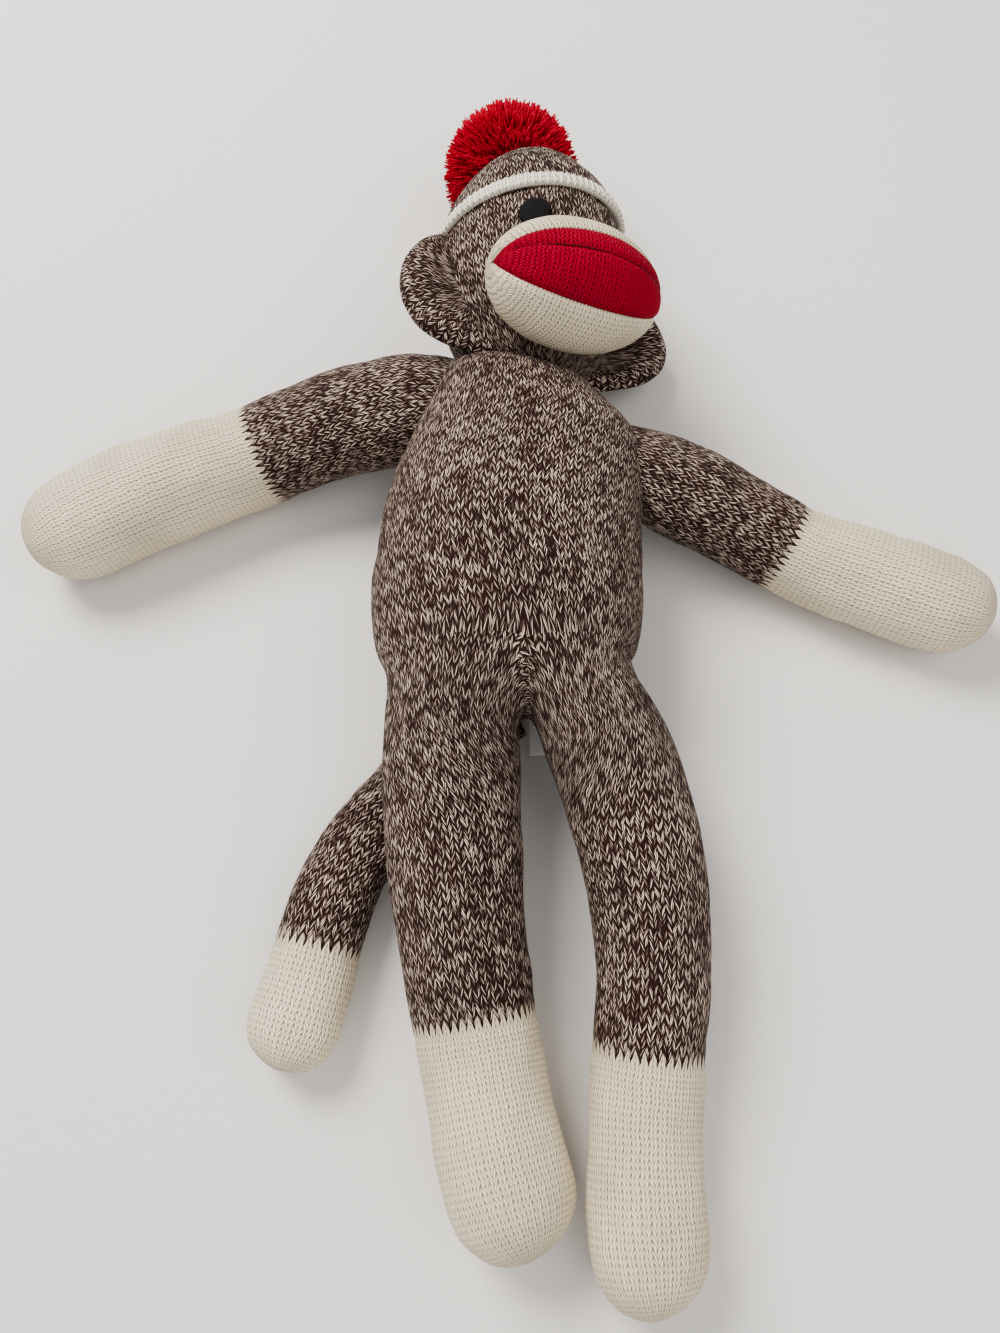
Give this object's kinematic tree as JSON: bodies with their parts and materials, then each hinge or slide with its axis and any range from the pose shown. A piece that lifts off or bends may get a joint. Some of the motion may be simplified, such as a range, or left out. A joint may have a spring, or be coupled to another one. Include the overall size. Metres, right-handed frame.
{
  "type": "sock monkey doll",
  "caption": "Knitted sock monkey doll lying on its back, with long jointed limbs, a tail, cupped ears, a red mouth and a hat with a pompom.",
  "frame": {"origin": "the middle of the flat patch under the back, on the floor", "axes": "+X to the doll's left, +Y towards its head, +Z out of its front, away from the floor"},
  "size_m": [0.4402, 0.5474, 0.1124],
  "materials": {
    "marl_knit": "dark brown yarn plied with white, knitted",
    "cream_knit": "off-white yarn, knitted",
    "red_knit": "red yarn, knitted",
    "red_yarn": "cut red yarn",
    "black_felt": "pressed felt",
    "white_stuffing": "loose polyester fibre",
    "dark_thread": "sewing thread",
    "white_tape": "woven tape"
  },
  "bodies": {
    "torso": {"care_label": "white_tape", "torso_skin": "marl_knit", "torso_stuffing": "white_stuffing"},
    "neck": {"neck_thread": "dark_thread"},
    "head": {"eye_left": "black_felt", "eye_right": "black_felt", "hat_band": "cream_knit", "hat_crown": "marl_knit", "head_skin": "marl_knit", "head_stuffing": "white_stuffing", "lips": "red_knit", "mouth_stitch": "dark_thread", "muzzle_lower": "cream_knit", "muzzle_stuffing": "white_stuffing", "muzzle_upper": "cream_knit", "pompom_tie": "red_yarn"},
    "ear_left": {"ear_left": "marl_knit"},
    "ear_right": {"ear_right": "marl_knit"},
    "pompom": {"pompom": "red_yarn"},
    "shoulder_left": {"shoulder_knot_left": "dark_thread"},
    "arm_left": {"arm_left_skin": "marl_knit", "arm_left_stuffing": "white_stuffing"},
    "hand_left": {"hand_left_skin": "cream_knit", "hand_left_stuffing": "white_stuffing"},
    "shoulder_right": {"shoulder_knot_right": "dark_thread"},
    "arm_right": {"arm_right_skin": "marl_knit", "arm_right_stuffing": "white_stuffing"},
    "hand_right": {"hand_right_skin": "cream_knit", "hand_right_stuffing": "white_stuffing"},
    "leg_left": {"leg_left_skin": "marl_knit", "leg_left_stuffing": "white_stuffing"},
    "foot_left": {"foot_left_skin": "cream_knit", "foot_left_stuffing": "white_stuffing"},
    "leg_right": {"leg_right_skin": "marl_knit", "leg_right_stuffing": "white_stuffing"},
    "foot_right": {"foot_right_skin": "cream_knit", "foot_right_stuffing": "white_stuffing"},
    "tail_root": {"tail_root_skin": "marl_knit", "tail_root_stuffing": "white_stuffing"},
    "tail": {"tail_skin": "marl_knit", "tail_stuffing": "white_stuffing"},
    "tail_tip": {"tail_tip_skin": "cream_knit", "tail_tip_stuffing": "white_stuffing"}
  },
  "joints": [
    {"name": "neck_turn", "type": "hinge", "parent": "torso", "child": "neck", "pos_m": [0.01504, 0.06699, 0.04338], "axis": [0, 1, 0], "range_deg": [-15, 25]},
    {"name": "neck_nod", "type": "hinge", "parent": "neck", "child": "head", "pos_m": [0.01504, 0.06699, 0.04338], "axis": [1, 0, 0], "range_deg": [-20, 10]},
    {"name": "ear_fold_left", "type": "hinge", "parent": "head", "child": "ear_left", "pos_m": [0.04631, 0.11414, 0.02309], "axis": [0.0955, -0.9916, -0.0872], "range_deg": [-15, 30]},
    {"name": "ear_fold_right", "type": "hinge", "parent": "head", "child": "ear_right", "pos_m": [-0.02426, 0.10314, 0.07099], "axis": [-0.0955, 0.9916, 0.0872], "range_deg": [-15, 30]},
    {"name": "pompom_tilt", "type": "hinge", "parent": "head", "child": "pompom", "pos_m": [0.00328, 0.18906, 0.05411], "axis": [0.8205, 0.128, -0.5571], "range_deg": [-10, 10]},
    {"name": "shoulder_swing_left", "type": "hinge", "parent": "torso", "child": "shoulder_left", "pos_m": [0.0588, 0.02934, 0.04], "axis": [0, 0, 1], "range_deg": [-15, 15]},
    {"name": "shoulder_lift_left", "type": "hinge", "parent": "shoulder_left", "child": "arm_left", "pos_m": [0.0588, 0.02934, 0.04], "axis": [-0.3746, -0.9272, 0], "range_deg": [0, 60]},
    {"name": "wrist_bend_left", "type": "hinge", "parent": "arm_left", "child": "hand_left", "pos_m": [0.1308, -0.00346, 0.02051], "axis": [0, 0, 1], "range_deg": [-30, 30]},
    {"name": "shoulder_swing_right", "type": "hinge", "parent": "torso", "child": "shoulder_right", "pos_m": [-0.02429, 0.06351, 0.041], "axis": [0, 0, 1], "range_deg": [-15, 5]},
    {"name": "shoulder_lift_right", "type": "hinge", "parent": "shoulder_right", "child": "arm_right", "pos_m": [-0.02429, 0.06351, 0.041], "axis": [0.1236, 0.9923, 0], "range_deg": [0, 40]},
    {"name": "wrist_bend_right", "type": "hinge", "parent": "arm_right", "child": "hand_right", "pos_m": [-0.12471, 0.04679, 0.02418], "axis": [0, 0, 1], "range_deg": [-30, 30]},
    {"name": "hip_flex_left", "type": "hinge", "parent": "torso", "child": "leg_left", "pos_m": [0.03503, -0.086, 0.0447], "axis": [-1, 0, 0], "range_deg": [0, 85]},
    {"name": "ankle_bend_left", "type": "hinge", "parent": "leg_left", "child": "foot_left", "pos_m": [0.05686, -0.22535, 0.01927], "axis": [0, 0, 1], "range_deg": [-5, 30]},
    {"name": "hip_flex_right", "type": "hinge", "parent": "torso", "child": "leg_right", "pos_m": [-0.019, -0.086, 0.0447], "axis": [-1, 0, 0], "range_deg": [0, 85]},
    {"name": "ankle_bend_right", "type": "hinge", "parent": "leg_right", "child": "foot_right", "pos_m": [-0.00574, -0.21575, 0.0216], "axis": [0, 0, 1], "range_deg": [-30, 5]},
    {"name": "tail_swing", "type": "hinge", "parent": "torso", "child": "tail_root", "pos_m": [-0.003, -0.074, 0.00625], "axis": [0, 0, -1], "range_deg": [0, 30]},
    {"name": "tail_bend", "type": "hinge", "parent": "tail_root", "child": "tail", "pos_m": [-0.04378, -0.11484, 0.00625], "axis": [0, 0, 1], "range_deg": [-25, 10]},
    {"name": "tail_tip_bend", "type": "hinge", "parent": "tail", "child": "tail_tip", "pos_m": [-0.0754, -0.19051, 0.0135], "axis": [0, 0, 1], "range_deg": [-25, 25]}
  ]
}
